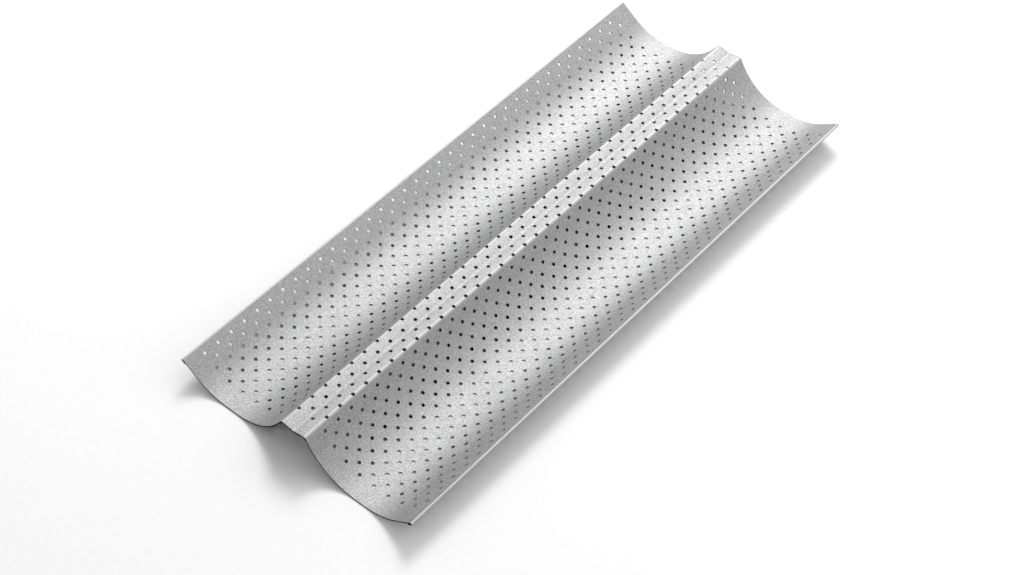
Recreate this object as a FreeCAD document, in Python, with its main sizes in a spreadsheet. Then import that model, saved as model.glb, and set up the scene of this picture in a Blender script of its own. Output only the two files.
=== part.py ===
"""Baguette tray: one perforated steel sheet, pressed into two round-bottomed troughs side by side.

The troughs share a ridge with a shallow valley along its top, and each long outer rim is turned
under in a flat hem. The sheet is modelled as its five formed regions, which meet edge to edge:
the ridge, a trough on each side of it, and a hem on each long rim.

Frame: millimetres, +Z up, X across the troughs, Y along them. The origin is at the middle of the
tray, on the surface that it rests on.
"""
import FreeCAD, Part
import math
import os

import Sketcher

# Driving dimensions, in millimetres and degrees: name, value, meaning.
DIMENSIONS = [
    ("tray_length", 380.0, "along the troughs, end to end"),
    ("tray_width", 162.0, "across both troughs, over the hems"),
    ("sheet_thickness", 0.7, "steel with its coating"),
    ("trough_offset", 45.5, "middle of the tray to the middle of a trough"),
    ("trough_radius", 36.0, "upper face of a trough's round flanks"),
    ("bottom_flat", 6.5, "width of the flat that a trough rests on"),
    ("wall_slope", 55.0, "inner wall of a trough, from level"),
    ("rim_slope", 35.0, "outer wall of a trough, from level"),
    ("ridge_height", 22.7, "a crest's corner point above the resting surface"),
    ("facet_slope", 10.0, "each side of the valley, from level"),
    ("crest_radius", 2.0, "upper face of the bend at a crest"),
    ("valley_radius", 4.0, "upper face of the bend in the valley"),
    ("ridge_skirt", 2.4, "ridge region down the wall from a crest's corner point"),
    ("hem_thickness", 1.6, "folded rim, over both layers"),
    ("hem_width", 2.8, "upper layer of a hem, from the trough region to the fold"),
    ("hem_leg", 2.5, "turned-under layer of a hem"),
    ("hole_diameter", 2.0, "round punched holes"),
    ("hole_pitch", 10.0, "between the holes of a row"),
    ("row_pitch", 5.0, "between rows, along the bent sheet"),
    ("holes_per_row", 36.0, "each row is half a pitch out of step with the next"),
    ("ridge_rows", 4.0, "rows on the ridge, counted across it"),
    ("trough_rows", 16.0, "rows on each trough"),
]

# Slopes and sizes as formulas of the driving dimensions.
LEVEL = "0 deg"
FACET = "(Dimensions.facet_slope * 1 deg)"
WALL = "(-Dimensions.wall_slope * 1 deg)"
RIM = "(Dimensions.rim_slope * 1 deg)"
THICKNESS = "Dimensions.sheet_thickness"
TROUGH_RADIUS = "Dimensions.trough_radius"
CREST_RADIUS = "Dimensions.crest_radius"
VALLEY_RADIUS = "Dimensions.valley_radius"
HEM_RADIUS = "(Dimensions.hem_thickness / 2)"

# A punch reaches this far to each side of the sheet's upper face, in millimetres.
PUNCH_REACH = 2.0


def fill_sheet(doc):
    """The spreadsheet, with one aliased cell for each driving dimension."""
    sheet = doc.addObject("Spreadsheet::Sheet", "Dimensions")
    for line, (name, value, meaning) in enumerate(DIMENSIONS, start=1):
        sheet.set(f"A{line}", name)
        sheet.set(f"B{line}", str(value))
        sheet.set(f"C{line}", meaning)
        sheet.setAlias(f"B{line}", name)
    doc.recompute()
    return sheet


def moved(point, direction, distance):
    """The point a distance along a direction, as formulas."""
    x, z = point
    return f"({x} + {distance} * cos({direction}))", f"({z} + {distance} * sin({direction}))"


def trough_point(side_of_flat, slope):
    """The point of a trough's upper face where a flank has the given slope."""
    flat_end = f"Dimensions.trough_offset + {side_of_flat} * Dimensions.bottom_flat / 2"
    x = f"({flat_end} + {TROUGH_RADIUS} * sin({slope}))"
    z = f"({THICKNESS} + {TROUGH_RADIUS} * (1 - cos({slope})))"
    return x, z


# Points of the upper face on the +X half, from the valley to the rim.
WALL_FOOT = trough_point(-1, WALL)
FLAT_START = trough_point(-1, LEVEL)
FLAT_END = trough_point(1, LEVEL)
RIM_FOOT = trough_point(1, RIM)
CREST_X = f"({WALL_FOOT[0]} - (Dimensions.ridge_height - {WALL_FOOT[1]}) / tan(-{WALL}))"
CREST = (CREST_X, "Dimensions.ridge_height")
CREST_TANGENT = f"({CREST_RADIUS} * tan(({FACET} - {WALL}) / 2))"
FACET_END = moved(CREST, FACET, f"-{CREST_TANGENT}")
WALL_START = moved(CREST, WALL, CREST_TANGENT)
RIDGE_SEAM = moved(CREST, WALL, "Dimensions.ridge_skirt")
VALLEY_CORNER = ("0", f"(Dimensions.ridge_height - {CREST_X} * tan({FACET}))")
FACET_START = moved(VALLEY_CORNER, FACET, f"({VALLEY_RADIUS} * tan({FACET}))")
VALLEY_LOW = ("0", f"({VALLEY_CORNER[1]} + {VALLEY_RADIUS} * (1 / cos({FACET}) - 1))")
FOLD_X = f"(Dimensions.tray_width / 2 - {HEM_RADIUS} * (1 + sin({RIM})))"
FOLD_START = (FOLD_X, f"({RIM_FOOT[1]} + ({FOLD_X} - {RIM_FOOT[0]}) * tan({RIM}))")
RIM_SEAM = moved(FOLD_START, RIM, "-Dimensions.hem_width")
FOLD_CENTRE = moved(FOLD_START, f"({RIM} - 90 deg)", HEM_RADIUS)
FOLD_NOSE = moved(FOLD_CENTRE, RIM, HEM_RADIUS)
FOLD_END = moved(FOLD_CENTRE, f"({RIM} - 90 deg)", HEM_RADIUS)
LEG_END = moved(FOLD_END, RIM, "-Dimensions.hem_leg")


class Station:
    """A point of the upper face, the slope there, and the bend that follows it, if one does."""

    def __init__(self, point, slope, radius=None, turn=0):
        """turn is 1 for a bend that curves upwards on the way to the rim and -1 for the other way."""
        self.point = point
        self.slope = slope
        self.radius = radius
        self.turn = turn

    def lower(self):
        """The point of the lower face under this one."""
        return moved(self.point, f"({self.slope} - 90 deg)", THICKNESS)

    def lower_radius(self):
        """The lower face's radius in the bend."""
        return f"({self.radius} + {self.turn} * {THICKNESS})"


HALF_RIDGE = [
    Station(VALLEY_LOW, LEVEL, VALLEY_RADIUS, 1),
    Station(FACET_START, FACET),
    Station(FACET_END, FACET, CREST_RADIUS, -1),
    Station(WALL_START, WALL),
    Station(RIDGE_SEAM, WALL),
]
TROUGH = [
    Station(RIDGE_SEAM, WALL),
    Station(WALL_FOOT, WALL, TROUGH_RADIUS, 1),
    Station(FLAT_START, LEVEL),
    Station(FLAT_END, LEVEL, TROUGH_RADIUS, 1),
    Station(RIM_FOOT, RIM),
    Station(RIM_SEAM, RIM),
]
HEM = [
    Station(RIM_SEAM, RIM),
    Station(FOLD_START, RIM, HEM_RADIUS, -1),
    Station(FOLD_NOSE, f"({RIM} - 90 deg)", HEM_RADIUS, -1),
    Station(FOLD_END, f"({RIM} - 180 deg)"),
    Station(LEG_END, f"({RIM} - 180 deg)"),
]


def mirrored(stations):
    """The same run on the -X half, in the order that leads on to the +X half."""
    run = []
    for before, station in zip([None] + stations, stations):
        x, z = station.point
        radius, turn = (before.radius, before.turn) if before else (None, 0)
        run.insert(0, Station((f"(-{x})", z), f"(-{station.slope})", radius, turn))
    return run


class Outline:
    """The closed cross-section of a formed region, as lines and arcs with a formula for each size."""

    def __init__(self, sheet, stations):
        """Go along the upper face, across the sheet, and back along the lower face."""
        self.sheet = sheet
        self.corners = [(item.point, item.radius, item.turn) for item in stations]
        for before, station in reversed(list(zip([None] + stations, stations))):
            bent = before is not None and before.radius is not None
            radius = before.lower_radius() if bent else None
            self.corners.append((station.lower(), radius, -before.turn if bent else 0))

    def value(self, formula):
        """A formula's present value."""
        return float(self.sheet.evalExpression(formula))

    def edge(self, start, end, radius, turn):
        """The line or arc between two corners, and which of its ends is the start."""
        if radius is None:
            return Part.LineSegment(start, end), 1
        size = self.value(radius)
        chord = end - start
        left = FreeCAD.Vector(-chord.y, chord.x, 0).normalize()
        centre = (start + end) * 0.5 + left * (turn * math.sqrt(size**2 - chord.Length**2 / 4))
        angles = [math.atan2(spot.y - centre.y, spot.x - centre.x) for spot in (start, end)]
        if turn < 0:
            angles.reverse()
        circle = Part.Circle(centre, FreeCAD.Vector(0, 0, 1), size)
        return Part.ArcOfCircle(circle, *angles), 1 if turn > 0 else 2

    def draw(self, sketch):
        """Add the edges to a sketch, join them, and bind every corner and radius to its formula."""
        spots = [FreeCAD.Vector(self.value(x), self.value(z), 0) for (x, z), _, _ in self.corners]
        starts = []
        for index, (_, radius, turn) in enumerate(self.corners):
            geometry, start_end = self.edge(spots[index], spots[(index + 1) % len(spots)], radius, turn)
            sketch.addGeometry(geometry)
            starts.append(start_end)
        for index, ((x, z), radius, _) in enumerate(self.corners):
            before = (index - 1) % len(spots)
            joint = Sketcher.Constraint("Coincident", before, 3 - starts[before], index, starts[index])
            sketch.addConstraint(joint)
            self.bind(sketch, ["DistanceX", -1, 1, index, starts[index], spots[index].x], x)
            self.bind(sketch, ["DistanceY", -1, 1, index, starts[index], spots[index].y], z)
            if radius is not None:
                self.bind(sketch, ["Radius", index, self.value(radius)], radius)

    def bind(self, sketch, constraint, formula):
        """Add a dimension whose value is a formula."""
        number = sketch.addConstraint(Sketcher.Constraint(*constraint))
        sketch.setExpression(f"Constraints[{number}]", f"{formula} * 1 mm")


def pressed_region(doc, sheet, name, stations):
    """A length of formed sheet: its cross-section, padded both ways from the middle of the tray."""
    body = doc.addObject("PartDesign::Body", name)
    body.Label = name
    upright = next(item for item in body.Origin.OriginFeatures if item.Role == "XZ_Plane")
    sketch = body.newObject("Sketcher::SketchObject", f"{name}_section")
    sketch.AttachmentSupport = (upright, [""])
    sketch.MapMode = "FlatFace"
    Outline(sheet, stations).draw(sketch)
    pad = body.newObject("PartDesign::Pad", f"{name}_pad")
    pad.Profile = sketch
    pad.SideType = "Symmetric"
    pad.setExpression("Length", "Dimensions.tray_length * 1 mm")
    return body


def place_on_sheet(sheet, distance):
    """The point of the upper face a distance from the valley along the sheet, and the normal there.

    The distance is measured half-way through the thickness, where pressing neither stretches nor
    shortens the sheet.
    """
    half_thickness = sheet.get("sheet_thickness") / 2
    run = HALF_RIDGE[:-1] + TROUGH
    for station, following in zip(run, run[1:]):
        slope = float(sheet.evalExpression(f"{station.slope} / 1 rad"))
        x, z = (float(sheet.evalExpression(formula)) for formula in station.point)
        if station.radius is None:
            next_x, next_z = (float(sheet.evalExpression(formula)) for formula in following.point)
            length = math.hypot(next_x - x, next_z - z)
            if distance <= length:
                x += distance * math.cos(slope)
                z += distance * math.sin(slope)
                return (x, z), (-math.sin(slope), math.cos(slope))
        else:
            radius = float(sheet.evalExpression(station.radius))
            middle = radius + station.turn * half_thickness
            next_slope = float(sheet.evalExpression(f"{following.slope} / 1 rad"))
            length = middle * abs(next_slope - slope)
            if distance <= length:
                turned = slope + station.turn * distance / middle
                x += station.turn * radius * (math.sin(turned) - math.sin(slope))
                z += station.turn * radius * (math.cos(slope) - math.cos(turned))
                return (x, z), (-math.sin(turned), math.cos(turned))
        distance -= length
    raise ValueError("the rows of holes run past the trough")


def punches(doc, sheet, name, rows):
    """The punches of some rows, each square to the sheet.

    Rows are numbered outwards from the valley, from 0 on the +X half and from -1 on the -X half.
    """
    pitch = sheet.get("hole_pitch")
    count = int(sheet.get("holes_per_row"))
    cylinders = []
    for row in rows:
        side = 1 if row >= 0 else -1
        steps = row if row >= 0 else -1 - row
        (x, z), (normal_x, normal_z) = place_on_sheet(sheet, (steps + 0.5) * sheet.get("row_pitch"))
        normal = FreeCAD.Vector(side * normal_x, 0, normal_z)
        shift = pitch / 4 if row % 2 else -pitch / 4
        for hole in range(count):
            y = (hole - (count - 1) / 2) * pitch + shift
            foot = FreeCAD.Vector(side * x, y, z) - normal * PUNCH_REACH
            radius = sheet.get("hole_diameter") / 2
            cylinders.append(Part.makeCylinder(radius, 2 * PUNCH_REACH, foot, normal))
    tool = doc.addObject("Part::Feature", f"{name}_punches")
    tool.Shape = Part.makeCompound(cylinders)
    return tool


def perforated(doc, sheet, name, stations, rows):
    """A formed region with its rows of holes punched through."""
    blank = pressed_region(doc, sheet, f"{name}_blank", stations)
    cut = doc.addObject("Part::Cut", name)
    cut.Label = name
    cut.Base = blank
    cut.Tool = punches(doc, sheet, name, rows)
    return cut


def build(doc):
    """Make the five regions of the sheet."""
    sheet = fill_sheet(doc)
    half_rows = int(sheet.get("ridge_rows")) // 2
    all_rows = half_rows + int(sheet.get("trough_rows"))
    return [
        perforated(doc, sheet, "centre_ridge", mirrored(HALF_RIDGE)[:-1] + HALF_RIDGE,
                   range(-half_rows, half_rows)),
        perforated(doc, sheet, "left_trough", mirrored(TROUGH), range(-all_rows, -half_rows)),
        perforated(doc, sheet, "right_trough", TROUGH, range(half_rows, all_rows)),
        pressed_region(doc, sheet, "left_rim_hem", mirrored(HEM)),
        pressed_region(doc, sheet, "right_rim_hem", HEM),
    ]


def check(doc, parts):
    """Stop if an object failed, or if a part isn't one closed valid solid."""
    for item in doc.Objects:
        if {"Invalid", "Error"} & set(item.State):
            raise RuntimeError(f"{item.Name} failed: {item.State}")
    for item in parts:
        shape = item.Shape
        if shape.isNull() or not shape.isValid() or len(shape.Solids) != 1:
            raise RuntimeError(f"{item.Label} isn't one valid solid")


doc = FreeCAD.newDocument("BaguetteTray")
parts = build(doc)
doc.recompute()
check(doc, parts)
os.makedirs("parts", exist_ok=True)
for item in parts:
    item.Shape.exportStep(f"parts/{item.Label}.step")
    box = item.Shape.BoundBox
    print(f"{item.Label}: {box.XLength:.2f} x {box.YLength:.2f} x {box.ZLength:.2f} mm,"
          f" {item.Shape.Volume:.0f} mm3")
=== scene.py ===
"""Baguette tray: one perforated sheet of coated steel, pressed into two troughs side by side.

The sheet is made here in the order in which the works makes it. A flat blank is punched with its
rows of holes, it gets its thickness and the slight rounding of its cut edges, and the press then
bends it to the section of the tray. The section is the CAD model's, with a finer crease in the
valley of the ridge. Each formed region of the sheet stands for the CAD node of the same name.
"""

import logging
import math
from collections.abc import Sequence
from dataclasses import dataclass, field
from functools import cached_property

import bmesh
import bpy
from mathutils import Matrix, Vector


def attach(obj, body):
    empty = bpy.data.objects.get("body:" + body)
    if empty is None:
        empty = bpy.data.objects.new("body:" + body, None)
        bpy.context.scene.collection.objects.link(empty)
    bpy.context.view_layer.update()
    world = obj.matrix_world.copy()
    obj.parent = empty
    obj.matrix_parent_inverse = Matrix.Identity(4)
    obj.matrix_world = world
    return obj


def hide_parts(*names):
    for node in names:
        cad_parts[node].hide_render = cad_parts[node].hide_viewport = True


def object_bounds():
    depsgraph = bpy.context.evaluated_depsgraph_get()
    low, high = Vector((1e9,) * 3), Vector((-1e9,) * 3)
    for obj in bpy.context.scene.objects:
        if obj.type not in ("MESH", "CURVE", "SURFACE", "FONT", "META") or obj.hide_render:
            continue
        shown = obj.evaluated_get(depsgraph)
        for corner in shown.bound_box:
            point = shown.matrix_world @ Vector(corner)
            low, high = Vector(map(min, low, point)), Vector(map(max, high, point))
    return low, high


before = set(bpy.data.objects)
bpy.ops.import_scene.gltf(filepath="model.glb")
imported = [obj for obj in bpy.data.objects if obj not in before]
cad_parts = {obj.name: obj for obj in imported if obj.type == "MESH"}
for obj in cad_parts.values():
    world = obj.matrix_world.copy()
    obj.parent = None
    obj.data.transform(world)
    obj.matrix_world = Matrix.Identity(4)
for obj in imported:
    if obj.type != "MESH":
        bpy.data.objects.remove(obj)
CAD_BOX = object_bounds()

LOG = logging.getLogger("baguette_tray")
MM = 0.001
LENGTH = CAD_BOX[1].y - CAD_BOX[0].y
HALF_WIDTH = CAD_BOX[1].x

# Points closer together than this are one point.
MERGE = 0.001 * MM

# Names of the attributes that a pressed region carries for its finish to read: where shade and a highlight
# are painted.
PAINTED_SHADE_MASK = "painted_shade_mask"
PAINTED_HIGHLIGHT = "painted_highlight"


# ---------------------------------------------------------------------------------------------
# Small helpers


def linear(hex_colour: str) -> tuple[float, float, float, float]:
    """Turn an sRGB hex colour into linear light.

    Args:
        hex_colour: Six hex digits, with a leading hash.

    Returns:
        Red, green, blue and an alpha of 1.
    """
    shades = [int(hex_colour[start:start + 2], 16) / 255 for start in (1, 3, 5)]
    # The sRGB standard's curve is a straight line near black and a power above it.
    light = [shade / 12.92 if shade <= 0.04045 else ((shade + 0.055) / 1.055) ** 2.4 for shade in shades]
    return (*light, 1.0)


def add_object(name: str, data: bpy.types.ID) -> bpy.types.Object:
    """Make an object at the origin and link it to the scene.

    Args:
        name: The object's name.
        data: Its mesh, light or camera.

    Returns:
        The object.
    """
    item = bpy.data.objects.new(name, data)
    bpy.context.scene.collection.objects.link(item)
    return item


def take_mesh(bm: bmesh.types.BMesh, name: str) -> bpy.types.Mesh:
    """Turn a bmesh into a mesh.

    Args:
        bm: The bmesh, which is freed.
        name: The mesh's name.

    Returns:
        The mesh.
    """
    mesh = bpy.data.meshes.new(name)
    bm.to_mesh(mesh)
    bm.free()
    return mesh


def repeat(bm: bmesh.types.BMesh, offset: tuple[float, float, float], copies: int) -> None:
    """Lay evenly spaced copies of a mesh beside it.

    Args:
        bm: The mesh, which gets the copies.
        offset: From one copy to the next.
        copies: How many to add.
    """
    bmesh.ops.spin(bm, geom=bm.faces[:], cent=(0, 0, 0), axis=(0, 0, 1), angle=0,
                   use_duplicate=True, dvec=offset, steps=copies)


def grow_edges(bm: bmesh.types.BMesh, edges: Sequence[bmesh.types.BMEdge]) -> tuple[list, list]:
    """Extrude a line of edges, with the new line still on top of the old one.

    Args:
        bm: The mesh.
        edges: The line.

    Returns:
        The vertices and the edges of the new line.
    """
    grown = bmesh.ops.extrude_edge_only(bm, edges=edges)["geom"]
    verts = [item for item in grown if isinstance(item, bmesh.types.BMVert)]
    line = [item for item in grown if isinstance(item, bmesh.types.BMEdge)
            and all(vert in verts for vert in item.verts)]
    return verts, line


# ---------------------------------------------------------------------------------------------
# The section that the press gives the sheet


@dataclass(frozen=True)
class Stretch:
    """A straight or evenly bent stretch of the section.

    Attributes:
        length: Along the middle of the sheet's thickness.
        turn: Angle that it bends through, positive where the section curves upwards.
    """

    length: float
    turn: float = 0.0

    @property
    def radius(self) -> float:
        """Radius of the middle of the sheet's thickness, without end for a straight stretch."""
        return self.length / abs(self.turn) if self.turn else math.inf


def follow(stretches: Sequence[Stretch], distance: float) -> tuple[float, float, float]:
    """Walk along a line of stretches that starts out level.

    Args:
        stretches: The stretches, in order.
        distance: How far to walk.

    Returns:
        How far across and how far up that leads, and the slope there.
    """
    x = z = slope = 0.0
    for stretch in stretches:
        along = min(distance, stretch.length)
        if stretch.turn:
            after = slope + stretch.turn * along / stretch.length
            radius = stretch.length / stretch.turn
            x += radius * (math.sin(after) - math.sin(slope))
            z += radius * (math.cos(slope) - math.cos(after))
            slope = after
        else:
            x += along * math.cos(slope)
            z += along * math.sin(slope)
        distance -= along
        if distance <= 0:
            break
    return x, z, slope


@dataclass(frozen=True)
class SheetSection:
    """The tray's cross-section from the valley of the ridge out to a rim.

    Radii are those of the upper face, and slopes are measured from level.

    Attributes:
        thickness: Of the sheet.
        trough_offset: From the middle of the tray to the middle of a trough.
        trough_radius: Of the rounds on both sides of a trough's flat bottom.
        bottom_flat: Width of that flat bottom.
        wall_slope: Of the inner wall, which rises to the ridge.
        rim_slope: Of the outer wall, which rises to the rim.
        crest_height: From the floor to the corner that a crest's bend rounds off.
        facet_slope: Of the ridge's top between the valley and a crest.
        crest_radius: Of a crest's bend.
        valley_radius: Of the valley's bend.
        crease_turn: How much further the valley is bent than its two facets need.
        crease_run: Length in which the sheet eases from the valley's bend into a facet.
        ridge_skirt: From a crest's corner down the inner wall to the end of the ridge's region.
        hem_thickness: Of both layers of a hem together, with the slit between them.
        hem_width: Of a hem's upper layer, from the end of the trough's region to the fold.
        hem_leg: Of the turned-under layer.
    """

    thickness: float = 0.7 * MM
    trough_offset: float = 45.5 * MM
    trough_radius: float = 36.0 * MM
    bottom_flat: float = 6.5 * MM
    wall_slope: float = math.radians(55.0)
    rim_slope: float = math.radians(35.0)
    crest_height: float = 22.7 * MM
    facet_slope: float = math.radians(10.0)
    crest_radius: float = 2.0 * MM
    valley_radius: float = 4.0 * MM
    crease_turn: float = math.radians(5.0)
    crease_run: float = 3.2 * MM
    ridge_skirt: float = 2.4 * MM
    hem_thickness: float = 1.6 * MM
    hem_width: float = 2.8 * MM
    hem_leg: float = 2.5 * MM

    def bend(self, radius: float, turn: float) -> Stretch:
        """Make a bend from its upper face's radius and the angle that it turns through."""
        middle = radius + math.copysign(self.thickness / 2, turn)
        return Stretch(middle * abs(turn), turn)

    def is_tight(self, stretch: Stretch) -> bool:
        """Say whether a stretch is the valley's bend, a crest or a fold, and not a trough's round."""
        return stretch.radius < self.trough_radius / 2

    def wall_height(self) -> float:
        """Height of the wall's straight part above the point where the trough's round begins."""
        return self.crest_height - self.thickness - self.trough_radius * (1 - math.cos(self.wall_slope))

    def crest_x(self) -> float:
        """Distance of a crest's corner point from the middle of the tray."""
        foot = self.trough_offset - self.bottom_flat / 2 - self.trough_radius * math.sin(self.wall_slope)
        return foot - self.wall_height() / math.tan(self.wall_slope)

    def crest_tangent(self) -> float:
        """Distance from a crest's corner point to either end of its bend."""
        return self.crest_radius * math.tan((self.facet_slope + self.wall_slope) / 2)

    def crease(self) -> list[Stretch]:
        """List the valley's bend, sharper than the facets need, and the run that eases into them."""
        return [
            self.bend(self.valley_radius, self.facet_slope + self.crease_turn),
            Stretch(self.crease_run, -self.crease_turn),
        ]

    def facet(self) -> tuple[float, float]:
        """Work out what joins the crease to the crest's bend.

        Returns:
            Length of the facet's straight part, and the height of the sheet's middle in the valley.
        """
        slope = self.facet_slope
        x, z, _ = follow(self.crease(), math.inf)
        back = self.crest_tangent()
        across = self.crest_x() - back * math.cos(slope) + self.thickness / 2 * math.sin(slope) - x
        up = self.crest_height - back * math.sin(slope) - self.thickness / 2 * math.cos(slope) - z
        return across / math.cos(slope), up - across * math.tan(slope)

    def rim_length(self) -> float:
        """Work out how far a rim's straight upper layer runs.

        Returns:
            Its length from the end of the trough's round to the fold.
        """
        foot = self.trough_offset + self.bottom_flat / 2 + self.trough_radius * math.sin(self.rim_slope)
        fold = HALF_WIDTH - self.hem_thickness / 2 * (1 + math.sin(self.rim_slope))
        return (fold - foot) / math.cos(self.rim_slope)

    def ridge_stretches(self) -> list[Stretch]:
        """List half of the ridge's stretches.

        Returns:
            The stretches from the valley to the end of the crest's bend.
        """
        straight, _ = self.facet()
        crest = self.bend(self.crest_radius, -self.facet_slope - self.wall_slope)
        return [*self.crease(), Stretch(straight), crest]

    def trough_stretches(self) -> list[Stretch]:
        """List a trough's stretches.

        Returns:
            The stretches from the end of the crest's bend to the fold of the hem.
        """
        return [
            Stretch(self.wall_height() / math.sin(self.wall_slope) - self.crest_tangent()),
            self.bend(self.trough_radius, self.wall_slope),
            Stretch(self.bottom_flat),
            self.bend(self.trough_radius, self.rim_slope),
            Stretch(self.rim_length()),
        ]

    def hem_stretches(self) -> list[Stretch]:
        """List the fold of the hem and its turned-under layer."""
        return [self.bend(self.hem_thickness / 2, -math.pi), Stretch(self.hem_leg)]

    @cached_property
    def stretches(self) -> list[Stretch]:
        """The whole section, from the valley to the free edge of the hem."""
        return self.ridge_stretches() + self.trough_stretches() + self.hem_stretches()

    @cached_property
    def valley_height(self) -> float:
        """Height of the sheet's middle at the lowest line of the valley."""
        return self.facet()[1]

    def fold_start(self) -> float:
        """Distance along the sheet from the valley to the fold of the hem."""
        return sum(item.length for item in self.ridge_stretches() + self.trough_stretches())

    def ridge_seam(self) -> float:
        """Distance along the sheet from the valley to where the ridge meets a trough."""
        bent = sum(item.length for item in self.ridge_stretches())
        return bent + self.ridge_skirt - self.crest_tangent()

    def rim_seam(self) -> float:
        """Distance along the sheet from the valley to where a trough meets its hem."""
        return self.fold_start() - self.hem_width

    def free_edge(self) -> float:
        """Distance along the sheet from the valley to the free edge of the hem."""
        return self.fold_start() + sum(item.length for item in self.hem_stretches())

    def place(self, distance: float, height: float) -> tuple[float, float, float]:
        """Find where the press puts a point of the flat sheet.

        Args:
            distance: Along the sheet from the valley, negative on the left half.
            height: Above the middle of the sheet's thickness.

        Returns:
            X, Z and the section's slope there.
        """
        side = math.copysign(1.0, distance)
        x, z, slope = follow(self.stretches, abs(distance))
        x -= height * math.sin(slope)
        z += height * math.cos(slope) + self.valley_height
        return side * x, z, side * slope

    def on_outward_bend(self, distance: float) -> bool:
        """Say whether a point of the sheet lies within a bend that stands proud.

        Args:
            distance: Along the sheet from the valley, negative on the left half.

        Returns:
            True on a crest and on the fold of a hem.
        """
        left = abs(distance)
        for stretch in self.stretches:
            if left < stretch.length - MERGE:
                return stretch.turn < 0 and left > MERGE and self.is_tight(stretch)
            left -= stretch.length
        return False

    def bend_lines(self, start: float, stop: float, step: float) -> list[float]:
        """List where tight bends need extra lines of vertices.

        Args:
            start: Where the region begins, along the sheet from the valley.
            stop: Where it ends.
            step: Most that the section may turn from one line to the next.

        Returns:
            Distances between start and stop, on both halves of the tray.
        """
        lines = []
        reached = 0.0
        for stretch in self.stretches:
            if self.is_tight(stretch):
                count = max(2, round(abs(stretch.turn) / step))
                lines += [reached + stretch.length * part / count for part in range(count + 1)]
            reached += stretch.length
        # Rounded to a ten-thousandth of a millimetre, so that lines that coincide count once.
        both = {round(side * line, 7) for line in lines for side in (-1, 1)}
        return sorted(line for line in both if start + MERGE < line < stop - MERGE)


# ---------------------------------------------------------------------------------------------
# The perforated blank and the regions pressed from it


@dataclass(frozen=True)
class Perforation:
    """The staggered rows of punched holes, as they are on the flat blank.

    Attributes:
        hole_diameter: Of the punch.
        hole_pitch: Between the holes of a row.
        row_pitch: Between two rows.
        holes_per_row: In every row.
        hole_sides: Corners of a hole's outline.
        collar: Width of the ring of faces around a hole.
    """

    hole_diameter: float = 2.0 * MM
    hole_pitch: float = 10.0 * MM
    row_pitch: float = 5.0 * MM
    holes_per_row: int = 36
    hole_sides: int = 16
    collar: float = 0.35 * MM

    def row_distance(self, row: int) -> float:
        """Distance of a row from the valley; rows count from 0 on the right and -1 on the left."""
        return (row + 0.5) * self.row_pitch

    def shift(self, row: int) -> float:
        """How far a row is moved along the tray by the stagger."""
        return self.hole_pitch / 4 if row % 2 else -self.hole_pitch / 4

    def hole_places(self, row: int) -> list[float]:
        """List the places of a row's holes along the tray."""
        first = -(self.holes_per_row - 1) / 2 * self.hole_pitch + self.shift(row)
        return [first + hole * self.hole_pitch for hole in range(self.holes_per_row)]

    def from_hole(self, distance: float, y: float) -> float:
        """Measure how far a point of the flat blank is from a hole.

        Args:
            distance: Along the sheet from the valley, negative on the left half.
            y: Along the tray.

        Returns:
            Distance from the centre of the nearest hole in the point's row.
        """
        row = math.floor(distance / self.row_pitch)
        steps = (y - self.shift(row)) / self.hole_pitch + (self.holes_per_row - 1) / 2
        hole = min(max(round(steps), 0), self.holes_per_row - 1)
        return math.hypot(distance - self.row_distance(row), y - self.hole_places(row)[hole])

    def collar_point(self, place: Vector) -> Vector:
        """Move a point of a hole's edge out to the collar around the hole."""
        return place * (1 + 2 * self.collar / self.hole_diameter)

    def brick_corner(self, place: Vector) -> Vector:
        """Move a point of a circle out to the brick around the hole.

        Args:
            place: One of the circle's points.

        Returns:
            The matching point of the brick's outline, which has as many points on each side.
        """
        turn = round(math.atan2(place.y, place.x) / math.tau * self.hole_sides) % self.hole_sides
        quarter = self.hole_sides // 4

        def along(step: int) -> float:
            """Go round a square of half-width 1, an even number of steps to each side."""
            away = abs(step % self.hole_sides - 2 * quarter) - quarter
            return max(-1.0, min(1.0, away / (quarter / 2)))

        across = along(turn) * self.row_pitch / 2
        return Vector((across, along(turn - quarter) * self.hole_pitch / 2, 0))

    def punch_cell(self, bm: bmesh.types.BMesh) -> None:
        """Make one hole with the brick-shaped piece of metal around it.

        Args:
            bm: An empty mesh.
        """
        bmesh.ops.create_circle(bm, segments=self.hole_sides, radius=self.hole_diameter / 2)
        edges = bm.edges[:]
        for outline in (self.collar_point, self.brick_corner):
            ring, edges = grow_edges(bm, edges)
            for vert in ring:
                vert.co = outline(vert.co)

    def row_strip(self, row: int) -> bmesh.types.BMesh:
        """Make a strip of the blank with one row of holes and plain margins at both cut ends.

        Args:
            row: The row, which sets the strip's place and its stagger.

        Returns:
            The strip, flat, at its place on the blank.
        """
        bm = bmesh.new()
        self.punch_cell(bm)
        repeat(bm, (0, self.hole_pitch, 0), self.holes_per_row - 1)
        first = self.hole_places(row)[0]
        bmesh.ops.translate(bm, verts=bm.verts[:], vec=(0, first, 0))
        bmesh.ops.remove_doubles(bm, verts=bm.verts[:], dist=MERGE)
        step = self.hole_pitch / 4
        for side in (-1, 1):
            end = self.shift(row) + side * self.holes_per_row * self.hole_pitch / 2
            edges = [edge for edge in bm.edges if all(abs(vert.co.y - end) < MERGE for vert in edge.verts)]
            for _ in range(round((LENGTH / 2 - abs(end)) / step)):
                verts, edges = grow_edges(bm, edges)
                bmesh.ops.translate(bm, verts=verts, vec=(0, side * step, 0))
        bmesh.ops.translate(bm, verts=bm.verts[:], vec=(self.row_distance(row), 0, 0))
        return bm


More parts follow.
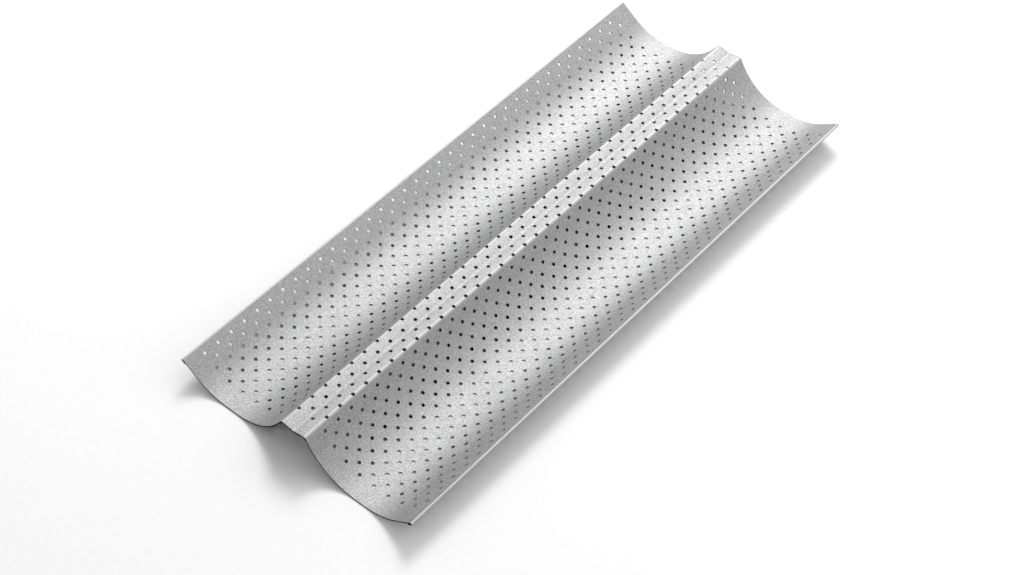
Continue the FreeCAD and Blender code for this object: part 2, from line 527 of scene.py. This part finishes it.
@dataclass
class PressedRegion:
    """A region of the sheet: a strip of the blank, perforated or plain, pressed to the section.

    Attributes:
        node: The CAD node that it stands for.
        start: Its first edge, along the sheet from the valley.
        stop: Its last edge.
        rows: The rows of holes on it.
        section: What it is pressed to.
        perforation: How its holes are spaced.
        edge_round: Width of the rounding on punched and sheared edges.
        edge_segments: Steps in that rounding.
        sheared_angle: Edges sharper than this are punched or sheared.
        end_band: Width of the strip of faces at each cut end, which holds the end's painted shade.
        hole_wall_painted_shade: How much of a cut end's painted shade a hole's wall gets, from 0 to 1.
        bend_step: Most that a bend turns from one line of vertices to the next.
        level: Least Z, up or down, of the normal of the blank's two large faces.
        crisp_angle: Edges sharper than this are shaded as edges.
    """

    node: str
    start: float
    stop: float
    rows: Sequence[int]
    section: SheetSection = field(default_factory=SheetSection)
    perforation: Perforation = field(default_factory=Perforation)
    edge_round: float = 0.12 * MM
    edge_segments: int = 2
    sheared_angle: float = math.radians(60.0)
    end_band: float = 0.6 * MM
    hole_wall_painted_shade: float = 0.2
    bend_step: float = math.radians(8.0)
    level: float = 0.999
    crisp_angle: float = math.radians(50.0)

    def perforated_blank(self) -> bmesh.types.BMesh:
        """Lay every other row of holes, then the staggered rows between them, side by side.

        Returns:
            The flat blank of the region, with no thickness yet.
        """
        blank = bmesh.new()
        for first in self.rows[:2]:
            strip = self.perforation.row_strip(first)
            repeat(strip, (2 * self.perforation.row_pitch, 0, 0), len(self.rows) // 2 - 1)
            mesh = take_mesh(strip, "strip")
            blank.from_mesh(mesh)
            bpy.data.meshes.remove(mesh)
        bmesh.ops.remove_doubles(blank, verts=blank.verts[:], dist=MERGE)
        self.trim_to_seams(blank)
        return blank

    def trim_to_seams(self, bm: bmesh.types.BMesh) -> None:
        """Bring the outermost vertices of the blank to the region's two straight edges.

        Args:
            bm: The flat blank.
        """
        across = [vert.co.x for vert in bm.verts]
        for outer, seam in ((min(across), self.start), (max(across), self.stop)):
            for vert in bm.verts:
                if abs(vert.co.x - outer) < MERGE:
                    vert.co.x = seam

    def plain_blank(self) -> bmesh.types.BMesh:
        """Lay out a strip with no holes.

        Returns:
            The flat blank of the region, a single face.
        """
        bm = bmesh.new()
        bmesh.ops.create_grid(bm, x_segments=1, y_segments=1, size=0.5)
        width = self.stop - self.start
        bmesh.ops.scale(bm, verts=bm.verts[:], vec=(width, LENGTH, 1))
        bmesh.ops.translate(bm, verts=bm.verts[:], vec=(self.start + width / 2, 0, 0))
        return bm

    def divide(self, bm: bmesh.types.BMesh, place: Vector, across: Vector) -> None:
        """Add a line of vertices where a plane crosses the blank."""
        everything = bm.verts[:] + bm.edges[:] + bm.faces[:]
        bmesh.ops.bisect_plane(bm, geom=everything, dist=MERGE, plane_co=place, plane_no=across)

    def thicken(self, bm: bmesh.types.BMesh) -> None:
        """Give the blank its thickness, centred on the plane that it was laid out in.

        Args:
            bm: The flat blank.
        """
        bmesh.ops.recalc_face_normals(bm, faces=bm.faces[:])
        if next(iter(bm.faces)).normal.z < 0:
            bmesh.ops.reverse_faces(bm, faces=bm.faces[:])
        bmesh.ops.solidify(bm, geom=bm.faces[:], thickness=self.section.thickness)
        heights = [vert.co.z for vert in bm.verts]
        middle = (min(heights) + max(heights)) / 2
        bmesh.ops.translate(bm, verts=bm.verts[:], vec=(0, 0, -middle))
        if bm.calc_volume(signed=True) < 0:
            bmesh.ops.reverse_faces(bm, faces=bm.faces[:])

    def on_seam(self, edge: bmesh.types.BMEdge) -> bool:
        """Say whether an edge lies where this region meets its neighbour.

        Args:
            edge: An edge of the flat blank.

        Returns:
            True on a seam, and False on the free edge of a hem.
        """
        free = self.section.free_edge()
        seams = [line for line in (self.start, self.stop) if abs(abs(line) - free) > MERGE]
        return any(all(abs(vert.co.x - line) < MERGE for vert in edge.verts) for line in seams)

    def round_edges(self, bm: bmesh.types.BMesh) -> None:
        """Round every punched and sheared edge a little, as the coating leaves them.

        Args:
            bm: The blank with its thickness.
        """
        sharp = [edge for edge in bm.edges if edge.is_manifold and not self.on_seam(edge)
                 and edge.calc_face_angle() > self.sheared_angle
                 and abs(edge.verts[0].co.z - edge.verts[1].co.z) < MERGE]
        bmesh.ops.bevel(bm, geom=sharp, offset=self.edge_round, offset_type="OFFSET",
                        segments=self.edge_segments, profile=0.5, affect="EDGES", material=-1,
                        clamp_overlap=True)

    def press(self, bm: bmesh.types.BMesh) -> None:
        """Bend the blank to the section.

        Four attributes keep what is only known of the flat blank: for the shading, each vertex's
        distance from the valley and the side of the sheet that each face is on, and for the
        finish, where shade is painted on cut ends and hole walls and where a highlight is painted
        on crests and hem folds.

        Args:
            bm: The blank with its thickness and its rounded edges.
        """
        distance = bm.verts.layers.float.new("distance")
        painted_shade_mask = bm.verts.layers.float.new(PAINTED_SHADE_MASK)
        painted_highlight = bm.verts.layers.float.new(PAINTED_HIGHLIGHT)
        sheet_face = bm.faces.layers.int.new("sheet_face")
        bm.normal_update()
        for face in bm.faces:
            face[sheet_face] = round(face.normal.z) if abs(face.normal.z) > self.level else 0
        reach = self.edge_round / 2
        hole_reach = self.perforation.hole_diameter / 2 + reach
        for vert in bm.verts:
            at_hole = self.rows and self.perforation.from_hole(vert.co.x, vert.co.y) < hole_reach
            at_end = LENGTH / 2 - abs(vert.co.y) < reach
            # Painted shade: full on the cut ends, a part of it on the hole walls.
            hole_wall = self.hole_wall_painted_shade if at_hole else 0.0
            vert[painted_shade_mask] = 1.0 if at_end else hole_wall
            # Painted highlight on the crests and the folds of the hems.
            vert[painted_highlight] = float(self.section.on_outward_bend(vert.co.x))
            vert[distance] = vert.co.x
            x, z, _ = self.section.place(vert.co.x, vert.co.z)
            vert.co = Vector((x, vert.co.y, z))

    def smooth(self, mesh: bpy.types.Mesh) -> None:
        """Shade the two large faces with the section's own normals, so that no facet shows.

        Args:
            mesh: The pressed region's mesh.
        """
        mesh.shade_smooth()
        mesh.set_sharp_from_angle(angle=self.crisp_angle)
        distances = mesh.attributes["distance"].data
        sides = mesh.attributes["sheet_face"].data
        slopes = [self.section.place(item.value, 0.0)[2] for item in distances]
        # A normal of no length leaves a corner with its ordinary shading.
        normals = [Vector((0, 0, 0))] * len(mesh.loops)
        for polygon in mesh.polygons:
            side = sides[polygon.index].value
            for loop in polygon.loop_indices if side else ():
                slope = slopes[mesh.loops[loop].vertex_index]
                normals[loop] = Vector((-math.sin(slope), 0, math.cos(slope))) * side
        mesh.normals_split_custom_set(normals)
        for name in ("distance", "sheet_face"):
            mesh.attributes.remove(mesh.attributes[name])

    def build(self, finish: bpy.types.Material) -> bpy.types.Object:
        """Punch, thicken, round and press the region.

        Args:
            finish: The material of the sheet.

        Returns:
            The finished piece, riding on the tray and standing for its CAD node.
        """
        bm = self.perforated_blank() if self.rows else self.plain_blank()
        for line in self.section.bend_lines(self.start, self.stop, self.bend_step):
            self.divide(bm, Vector((line, 0, 0)), Vector((1, 0, 0)))
        for side in (-1, 1):
            self.divide(bm, Vector((0, side * (LENGTH / 2 - self.end_band), 0)), Vector((0, 1, 0)))
        self.thicken(bm)
        self.round_edges(bm)
        self.press(bm)
        mesh = take_mesh(bm, f"{self.node}_sheet")
        self.smooth(mesh)
        mesh.materials.append(finish)
        piece = add_object(f"{self.node}_sheet", mesh)
        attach(piece, "root")
        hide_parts(self.node)
        return piece


# ---------------------------------------------------------------------------------------------
# Materials


def add_node(tree: bpy.types.NodeTree, kind: str, inputs: dict | None = None,
             **settings: object) -> bpy.types.Node:
    """Add a shader node, set it up and link it.

    Args:
        tree: The material's node tree.
        kind: The node's type name.
        inputs: A value or another node's output socket for each named or numbered input.
        settings: Properties of the node itself.

    Returns:
        The new node.
    """
    node = tree.nodes.new(kind)
    for name, value in settings.items():
        setattr(node, name, value)
    for name, value in (inputs or {}).items():
        if isinstance(value, bpy.types.NodeSocket):
            tree.links.new(value, node.inputs[name])
        else:
            node.inputs[name].default_value = value
    return node


def new_material(name: str) -> tuple[bpy.types.Material, bpy.types.NodeTree]:
    """Make a material with an empty node tree.

    Args:
        name: The material's name.

    Returns:
        The material and its node tree.
    """
    material = bpy.data.materials.new(name)
    material.use_nodes = True
    material.node_tree.nodes.clear()
    return material, material.node_tree


@dataclass(frozen=True)
class SprayedNonStickSteel:
    """Carbon steel with a silver-grey silicone non-stick coating, sprayed on and baked.

    The binder is full of fine aluminium flake, so the sheet reads as satin metal with a fine
    grain and not as paint. A paler painted highlight lies on the crests and the folds of the hems,
    and a dark painted shade lies on the cut ends and, in part, on the hole walls.

    Attributes:
        pale_flake: Lightest shade of the grain.
        dark_flake: Darkest shade of the grain.
        painted_highlight: Painted highlight on the crests and the folds of the hems.
        painted_shade_colour: Painted shade on the cut ends, and in part on the hole walls.
        metallic: A little under 1, for the clear binder over the flake.
        roughness: Least and most, drifting from place to place as the spray did.
        flake_size: Size of the grain.
        flake_range: Part of the grain's noise in which it goes from dark to pale.
        flake_depth: Relief of the grain.
        cloud_size: Size of the drift in roughness.
        cloud_range: Part of the drift's noise in which it goes from least to most.
        orange_peel: Width of the ripple that a sprayed film bakes with.
        peel_depth: Relief of that ripple.
        press_wave: Width of the unevenness that the press leaves in a thin sheet.
        wave_depth: Relief of that unevenness.
    """

    pale_flake: str = "#BBBBBB"
    dark_flake: str = "#888889"
    painted_highlight: str = "#B4B4B4"
    painted_shade_colour: str = "#3A3A3B"
    metallic: float = 0.95
    roughness: tuple[float, float] = (0.64, 0.655)
    # Real flake is 0.02 to 0.05 mm across, too fine to show, so it is drawn coarser.
    flake_size: float = 0.5 * MM
    flake_range: tuple[float, float] = (0.36, 0.64)
    flake_depth: float = 0.006 * MM
    cloud_size: float = 14.0 * MM
    cloud_range: tuple[float, float] = (0.3, 0.7)
    orange_peel: float = 1.6 * MM
    peel_depth: float = 0.006 * MM
    press_wave: float = 30.0 * MM
    wave_depth: float = 0.02 * MM

    def material(self) -> bpy.types.Material:
        """Build the node tree.

        Returns:
            The finish as a material, which reads the attributes of the pressed regions.
        """
        material, tree = new_material("sprayed_nonstick_on_carbon_steel")
        place = add_node(tree, "ShaderNodeTexCoord").outputs["Object"]
        flake = add_node(tree, "ShaderNodeTexNoise", {
            "Vector": place, "Scale": 1 / self.flake_size, "Detail": 2.0, "Roughness": 0.6})
        cloud = add_node(tree, "ShaderNodeTexNoise", {
            "Vector": place, "Scale": 1 / self.cloud_size, "Detail": 3.0, "Roughness": 0.5})
        tone = add_node(tree, "ShaderNodeValToRGB", {"Fac": flake.outputs["Fac"]})
        for end, shade in enumerate((self.dark_flake, self.pale_flake)):
            tone.color_ramp.elements[end].position = self.flake_range[end]
            tone.color_ramp.elements[end].color = linear(shade)
        colour = tone.outputs["Color"]
        # A painted highlight on the crests and hem folds, then painted shade on the cut ends and hole
        # walls.
        for name, shade in ((PAINTED_HIGHLIGHT, self.painted_highlight), (PAINTED_SHADE_MASK, self.painted_shade_colour)):
            where = add_node(tree, "ShaderNodeAttribute", attribute_name=name).outputs["Fac"]
            colour = add_node(tree, "ShaderNodeMix", {0: where, 6: colour, 7: linear(shade)},
                              data_type="RGBA").outputs[2]
        rough = add_node(tree, "ShaderNodeMapRange", {
            "Value": cloud.outputs["Fac"],
            "From Min": self.cloud_range[0], "From Max": self.cloud_range[1],
            "To Min": self.roughness[0], "To Max": self.roughness[1]})
        peel = add_node(tree, "ShaderNodeTexNoise", {
            "Vector": place, "Scale": 1 / self.orange_peel, "Detail": 1.0})
        wave = add_node(tree, "ShaderNodeTexNoise", {
            "Vector": place, "Scale": 1 / self.press_wave, "Detail": 0.0})
        normal = None
        for height, depth in ((wave, self.wave_depth), (peel, self.peel_depth), (flake, self.flake_depth)):
            inputs = {"Height": height.outputs["Fac"], "Distance": depth, "Strength": 1.0}
            if normal is not None:
                inputs["Normal"] = normal
            normal = add_node(tree, "ShaderNodeBump", inputs).outputs["Normal"]
        shader = add_node(tree, "ShaderNodeBsdfPrincipled", {
            "Base Color": colour, "Metallic": self.metallic,
            "Roughness": rough.outputs["Result"], "Normal": normal})
        add_node(tree, "ShaderNodeOutputMaterial", {"Surface": shader.outputs["BSDF"]})
        return material


@dataclass(frozen=True)
class MattePaper:
    """Uncoated white studio background paper, rolled smooth: matte, with a faint cloudiness.

    Attributes:
        white: Its lightest shade.
        shade: Its darkest shade.
        fibre_size: Size of the clouds of fibre. Single fibres are too fine to show.
        roughness: High, because the paper isn't coated.
        specular: Low, for the same reason.
    """

    white: str = "#E6E6E6"
    shade: str = "#E2E2E2"
    fibre_size: float = 4.0 * MM
    roughness: float = 0.9
    specular: float = 0.2

    def material(self) -> bpy.types.Material:
        """Build the node tree.

        Returns:
            The paper as a material.
        """
        material, tree = new_material("matte_background_paper")
        place = add_node(tree, "ShaderNodeTexCoord").outputs["Object"]
        fibre = add_node(tree, "ShaderNodeTexNoise", {"Vector": place, "Scale": 1 / self.fibre_size})
        colour = add_node(tree, "ShaderNodeMix", {
            0: fibre.outputs["Fac"], 6: linear(self.white), 7: linear(self.shade)}, data_type="RGBA")
        shader = add_node(tree, "ShaderNodeBsdfPrincipled", {
            "Base Color": colour.outputs[2], "Roughness": self.roughness,
            "Specular IOR Level": self.specular})
        add_node(tree, "ShaderNodeOutputMaterial", {"Surface": shader.outputs["BSDF"]})
        return material


# ---------------------------------------------------------------------------------------------
# The tray and the studio


@dataclass
class BaguetteTray:
    """The whole sheet, region by region, from the left rim to the right one.

    Attributes:
        section: What the sheet is pressed to.
        finish: Its coating.
        ridge_rows: Rows of holes on the ridge.
        trough_rows: Rows of holes on each trough.
    """

    section: SheetSection = field(default_factory=SheetSection)
    finish: SprayedNonStickSteel = field(default_factory=SprayedNonStickSteel)
    ridge_rows: int = 4
    trough_rows: int = 16

    def regions(self) -> list[PressedRegion]:
        """Divide the sheet where the CAD model does.

        Returns:
            The regions, from left to right.
        """
        ridge = self.section.ridge_seam()
        rim = self.section.rim_seam()
        free = self.section.free_edge()
        inner = self.ridge_rows // 2
        outer = inner + self.trough_rows
        return [
            PressedRegion("left_rim_hem", -free, -rim, (), self.section),
            PressedRegion("left_trough", -rim, -ridge, range(-outer, -inner), self.section),
            PressedRegion("centre_ridge", -ridge, ridge, range(-inner, inner), self.section),
            PressedRegion("right_trough", ridge, rim, range(inner, outer), self.section),
            PressedRegion("right_rim_hem", rim, free, (), self.section),
        ]

    def build(self) -> None:
        """Press every region and report it."""
        material = self.finish.material()
        for region in self.regions():
            piece = region.build(material)
            triangles = sum(len(polygon.vertices) - 2 for polygon in piece.data.polygons)
            LOG.info("%s: %d rows of holes, %d triangles", piece.name, len(region.rows), triangles)


@dataclass(frozen=True)
class Softbox:
    """A rectangular soft light that faces the tray.

    Attributes:
        name: What the light is called.
        direction: From the tray to the light.
        distance: From the tray to the light, in metres.
        size: Its width and height, in metres.
        radiance: How bright its surface is.
    """

    name: str
    direction: tuple[float, float, float]
    distance: float
    size: tuple[float, float]
    radiance: float

    def hang(self) -> None:
        """Put the light up and turn it to the tray."""
        width, height = self.size
        light = bpy.data.lights.new(self.name, "AREA")
        light.shape = "RECTANGLE"
        light.size = width
        light.size_y = height
        light.energy = self.radiance * math.pi * width * height
        place = Vector(self.direction).normalized() * self.distance
        turn = (-place).to_track_quat("-Z", "Y")
        lamp = add_object(self.name, light)
        lamp.matrix_world = Matrix.Translation(place) @ turn.to_matrix().to_4x4()


@dataclass
class Studio:
    """A pale floor, soft lights and the camera.

    Sizes and places are in metres. The key stands high at the back left and throws the shadows,
    the overhead box hangs behind and above, and the reflector stands low at the back right.

    Attributes:
        camera_place: Where the camera is.
        camera_aim: What it looks at.
        camera_roll: How far it is turned about its line of sight.
        lens: Its focal length, in millimetres.
        sensor: Width of its sensor, in millimetres.
        floor_size: Of the square of paper.
        floor_squares: Faces along each side of the paper.
        floor_gap: From the paper to the lowest point of the tray.
        surround: Colour of the room.
        surround_strength: How bright the room is.
        black_point: Linear light that comes out black.
        softboxes: The lights.
    """

    camera_place: Vector = Vector((0.5084, -0.6782, 0.9322))
    camera_aim: Vector = Vector((0.00975, -0.02632, 0.00017))
    camera_roll: float = math.radians(3.03)
    lens: float = 78.96
    sensor: float = 36.0
    floor_size: float = 8.0
    floor_squares: int = 8
    floor_gap: float = 0.05 * MM
    surround: str = "#EDEDED"
    surround_strength: float = 0.75
    black_point: float = 0.038
    softboxes: tuple[Softbox, ...] = (
        Softbox("overhead", (0.10, 0.60, 0.79), 1.7, (2.0, 1.6), 1.0),
        Softbox("key", (-0.38, 0.58, 0.72), 1.6, (0.6, 0.6), 17.0),
        Softbox("reflector", (0.80, 0.52, 0.28), 1.5, (1.6, 0.7), 1.3),
    )

    def floor(self) -> None:
        """Lay the background paper just under the tray."""
        bm = bmesh.new()
        squares = self.floor_squares
        bmesh.ops.create_grid(bm, x_segments=squares, y_segments=squares, size=self.floor_size / 2)
        bmesh.ops.translate(bm, verts=bm.verts[:], vec=(0, 0, -self.floor_gap))
        mesh = take_mesh(bm, "floor")
        mesh.materials.append(MattePaper().material())
        add_object("floor", mesh)

    def lights(self) -> None:
        """Light the tray with an even grey room and the softboxes, and deepen the blacks."""
        world = bpy.data.worlds.new("studio")
        bpy.context.scene.world = world
        world.use_nodes = True
        room = world.node_tree.nodes["Background"]
        room.inputs["Color"].default_value = linear(self.surround)
        room.inputs["Strength"].default_value = self.surround_strength
        for softbox in self.softboxes:
            softbox.hang()
        view = bpy.context.scene.view_settings
        view.view_transform = "Standard"
        view.use_curve_mapping = True
        view.curve_mapping.black_level = (self.black_point,) * 3
        view.curve_mapping.update()

    def camera(self) -> None:
        """Place the camera and make it the scene's."""
        data = bpy.data.cameras.new("camera")
        data.lens = self.lens
        data.sensor_width = self.sensor
        camera = add_object("camera", data)
        turn = (self.camera_aim - self.camera_place).to_track_quat("-Z", "Y").to_matrix().to_4x4()
        roll = Matrix.Rotation(self.camera_roll, 4, "Z")
        camera.matrix_world = Matrix.Translation(self.camera_place) @ turn @ roll
        bpy.context.scene.camera = camera

    def build(self) -> None:
        """Set up the floor, the lights and the camera."""
        self.floor()
        self.lights()
        self.camera()
        LOG.info("studio ready")


def main() -> None:
    """Build the tray and the studio around it."""
    logging.basicConfig(level=logging.INFO, format="%(name)s: %(message)s")
    BaguetteTray().build()
    Studio().build()


if __name__ == "__main__":
    main()
